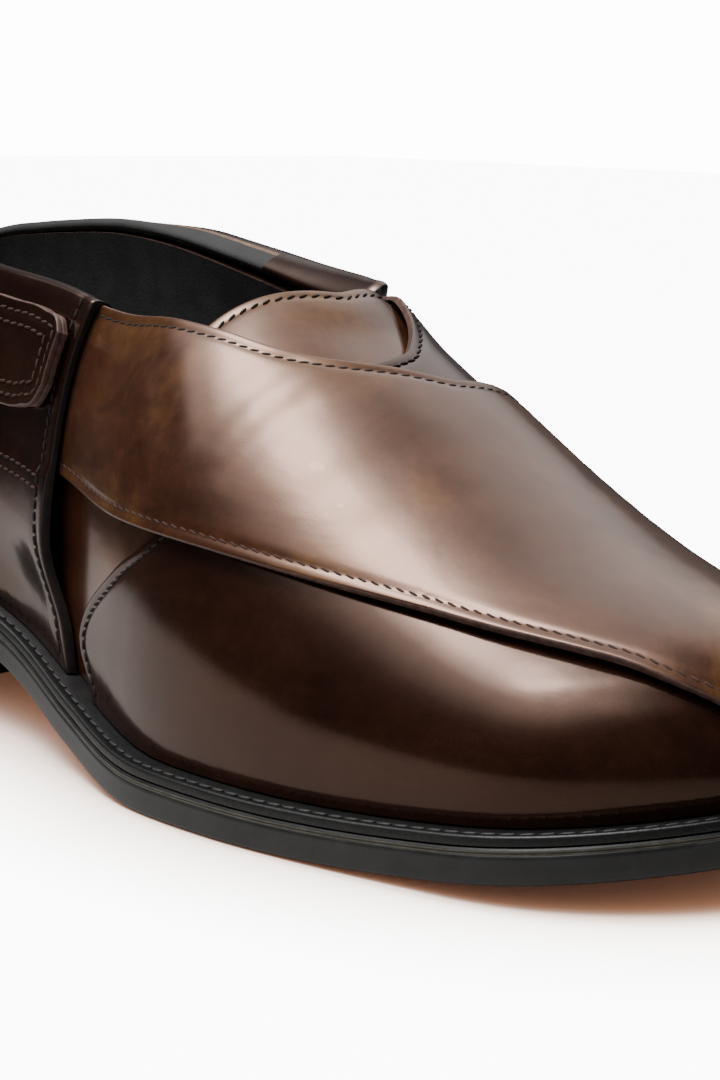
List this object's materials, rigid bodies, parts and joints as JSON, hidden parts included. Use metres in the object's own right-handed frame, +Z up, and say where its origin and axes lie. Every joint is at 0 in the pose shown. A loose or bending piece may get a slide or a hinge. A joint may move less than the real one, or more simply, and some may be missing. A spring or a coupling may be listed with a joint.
{
  "type": "sandal",
  "caption": "Closed-toe Peshawari chappal for the right foot: crossed straps over a lasted vamp, closed heel quarter and welted leather sole.",
  "frame": {"origin": "middle of the shoe's bounding box, on the floor that it stands on", "axes": "+X to the toe, +Y to the inner (medial) side of the foot, +Z up"},
  "size_m": [0.3, 0.1044, 0.1058],
  "materials": {
    "outsole": "leather sole, edge dyed black",
    "heel": "stacked leather, dyed black",
    "top_piece": "matt black rubber",
    "welt": "black, stitched",
    "insole": "plain tan leather",
    "upper": "brown leather, high shine",
    "under_strap": "brown leather, high shine",
    "over_strap": "brown leather, high shine",
    "quarter": "brown leather, high shine",
    "fastening_strap": "brown leather, high shine"
  },
  "bodies": {
    "root": {"outsole": "outsole", "heel": "heel", "top_piece": "top_piece", "welt": "welt", "insole": "insole", "upper": "upper", "under_strap": "under_strap", "over_strap": "over_strap", "quarter": "quarter", "fastening_strap": "fastening_strap"}
  },
  "joints": []
}
